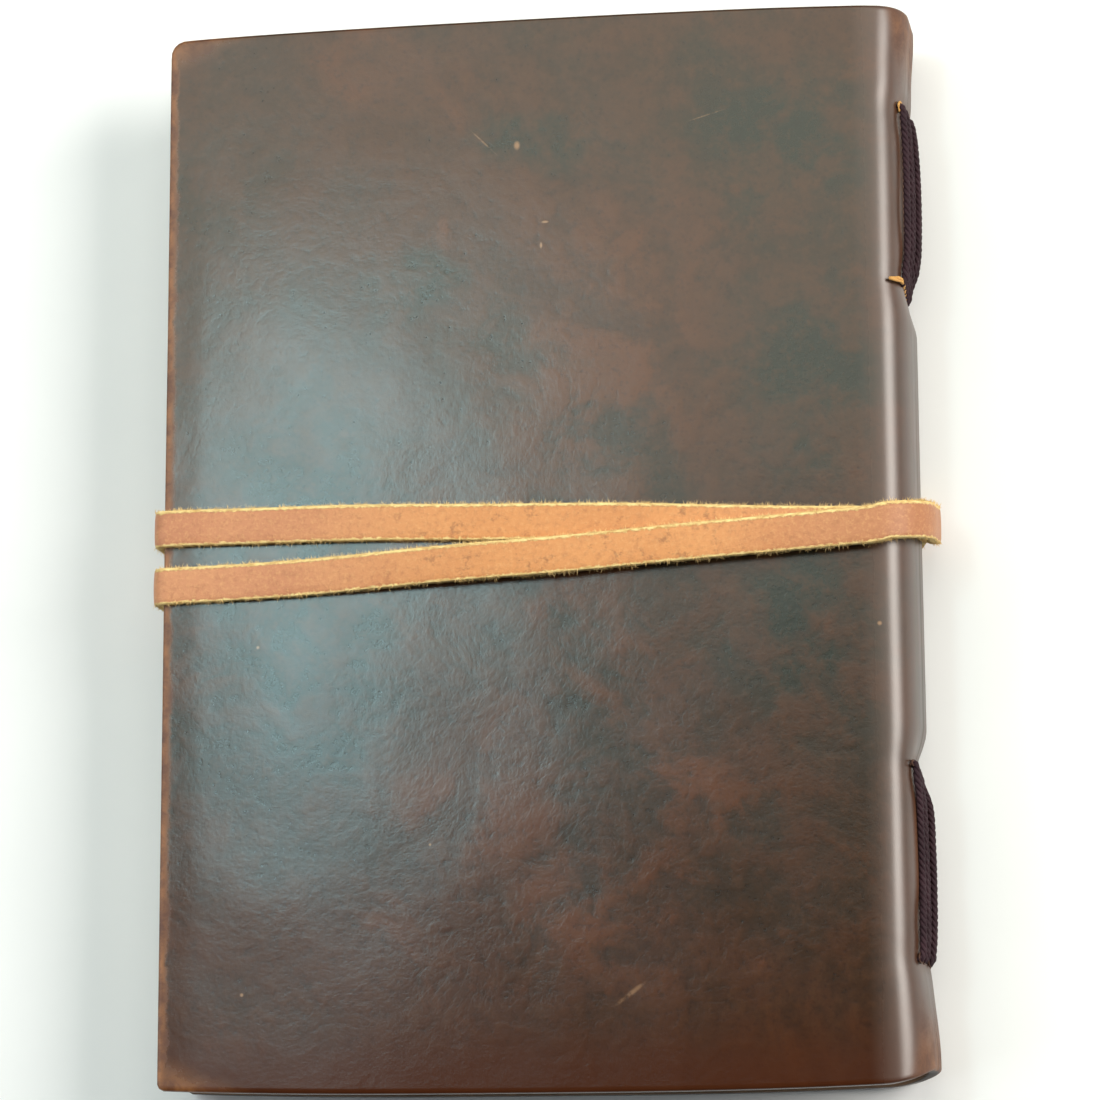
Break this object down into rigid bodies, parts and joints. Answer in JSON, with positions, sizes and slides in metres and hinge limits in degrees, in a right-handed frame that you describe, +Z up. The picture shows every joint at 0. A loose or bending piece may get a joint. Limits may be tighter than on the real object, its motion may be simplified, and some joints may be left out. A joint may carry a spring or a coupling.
{
  "type": "leather notebook cover",
  "caption": "Long-stitch leather notebook: one hide folded round folded paper sections sewn through the spine, held shut by a flat leather strap wound round it",
  "frame": {"origin": "On the table, under the middle of the whole closed notebook with its strap", "axes": "X from fore-edge to spine, Y from tail to head, Z up through the closed notebook's thickness"},
  "size_m": [0.133, 0.178, 0.0281],
  "materials": {
    "cover_leather": "satin",
    "strap_leather": "matte",
    "paper": "matte",
    "thread": "satin"
  },
  "bodies": {
    "bottom_cover": {"bottom_cover": "cover_leather"},
    "spine": {"spine": "cover_leather", "head_stitch_1": "thread", "tail_stitch_1": "thread", "head_stitch_2": "thread", "tail_stitch_2": "thread", "head_stitch_3": "thread", "tail_stitch_3": "thread", "head_stitch_4": "thread", "tail_stitch_4": "thread", "head_stitch_5": "thread", "tail_stitch_5": "thread", "head_stitch_6": "thread", "tail_stitch_6": "thread"},
    "top_cover": {"top_cover": "cover_leather"},
    "section_1": {"section_1": "paper", "inner_stitch_1": "thread"},
    "section_2": {"section_2": "paper", "inner_stitch_2": "thread"},
    "section_3": {"section_3": "paper", "inner_stitch_3": "thread"},
    "section_4": {"section_4": "paper", "inner_stitch_4": "thread"},
    "section_5": {"section_5": "paper", "inner_stitch_5": "thread"},
    "section_6": {"section_6": "paper", "inner_stitch_6": "thread"},
    "strap": {"strap_first_end": "strap_leather", "strap_first_turn_fore_edge": "strap_leather", "strap_first_turn_top": "strap_leather", "strap_first_turn_spine": "strap_leather", "strap_first_turn_under": "strap_leather", "strap_second_turn_fore_edge": "strap_leather", "strap_second_turn_top": "strap_leather", "strap_second_turn_spine": "strap_leather", "strap_last_end": "strap_leather"}
  },
  "joints": [
    {"name": "spine_fold", "type": "hinge", "parent": "bottom_cover", "child": "spine", "pos_m": [0.06048, 0, 0.00402], "axis": [0, 1, 0], "range_deg": [0, 90]},
    {"name": "top_cover_fold", "type": "hinge", "parent": "spine", "child": "top_cover", "pos_m": [0.06048, 0, 0.02208], "axis": [0, 1, 0], "range_deg": [0, 90]},
    {"name": "section_1_turn", "type": "hinge", "parent": "spine", "child": "section_1", "pos_m": [0.0573, 0, 0.0058], "axis": [0, 1, 0], "range_deg": [-84.6, 0]},
    {"name": "section_2_turn", "type": "hinge", "parent": "spine", "child": "section_2", "pos_m": [0.0573, 0, 0.0087], "axis": [0, 1, 0], "range_deg": [-30.6, 0]},
    {"name": "section_3_turn", "type": "hinge", "parent": "spine", "child": "section_3", "pos_m": [0.0573, 0, 0.0116], "axis": [0, 1, 0], "range_deg": [-9.9, 0]},
    {"name": "section_4_turn", "type": "hinge", "parent": "spine", "child": "section_4", "pos_m": [0.0573, 0, 0.0145], "axis": [0, 1, 0], "range_deg": [0, 9.9]},
    {"name": "section_5_turn", "type": "hinge", "parent": "spine", "child": "section_5", "pos_m": [0.0573, 0, 0.0174], "axis": [0, 1, 0], "range_deg": [0, 30.6]},
    {"name": "section_6_turn", "type": "hinge", "parent": "spine", "child": "section_6", "pos_m": [0.0573, 0, 0.0203], "axis": [0, 1, 0], "range_deg": [0, 84.6]},
    {"name": "strap_off", "type": "slide", "parent": "bottom_cover", "child": "strap", "axis": [0, 1, 0], "range_m": [0, 0.105], "deforming": ["strap_first_end", "strap_first_turn_fore_edge", "strap_first_turn_top", "strap_first_turn_spine", "strap_first_turn_under", "strap_second_turn_fore_edge", "strap_second_turn_top", "strap_second_turn_spine", "strap_last_end"]}
  ],
  "couplings": [
    {"joint": "top_cover_fold", "follows": "spine_fold", "ratio": 1},
    {"joint": "section_1_turn", "follows": "spine_fold", "ratio": -0.94},
    {"joint": "section_2_turn", "follows": "spine_fold", "ratio": -0.34},
    {"joint": "section_3_turn", "follows": "spine_fold", "ratio": -0.11},
    {"joint": "section_4_turn", "follows": "spine_fold", "ratio": 0.11},
    {"joint": "section_5_turn", "follows": "spine_fold", "ratio": 0.34},
    {"joint": "section_6_turn", "follows": "spine_fold", "ratio": 0.94},
    {"joint": "strap_off", "follows": "spine_fold", "m_per_rad": 0.066844}
  ]
}
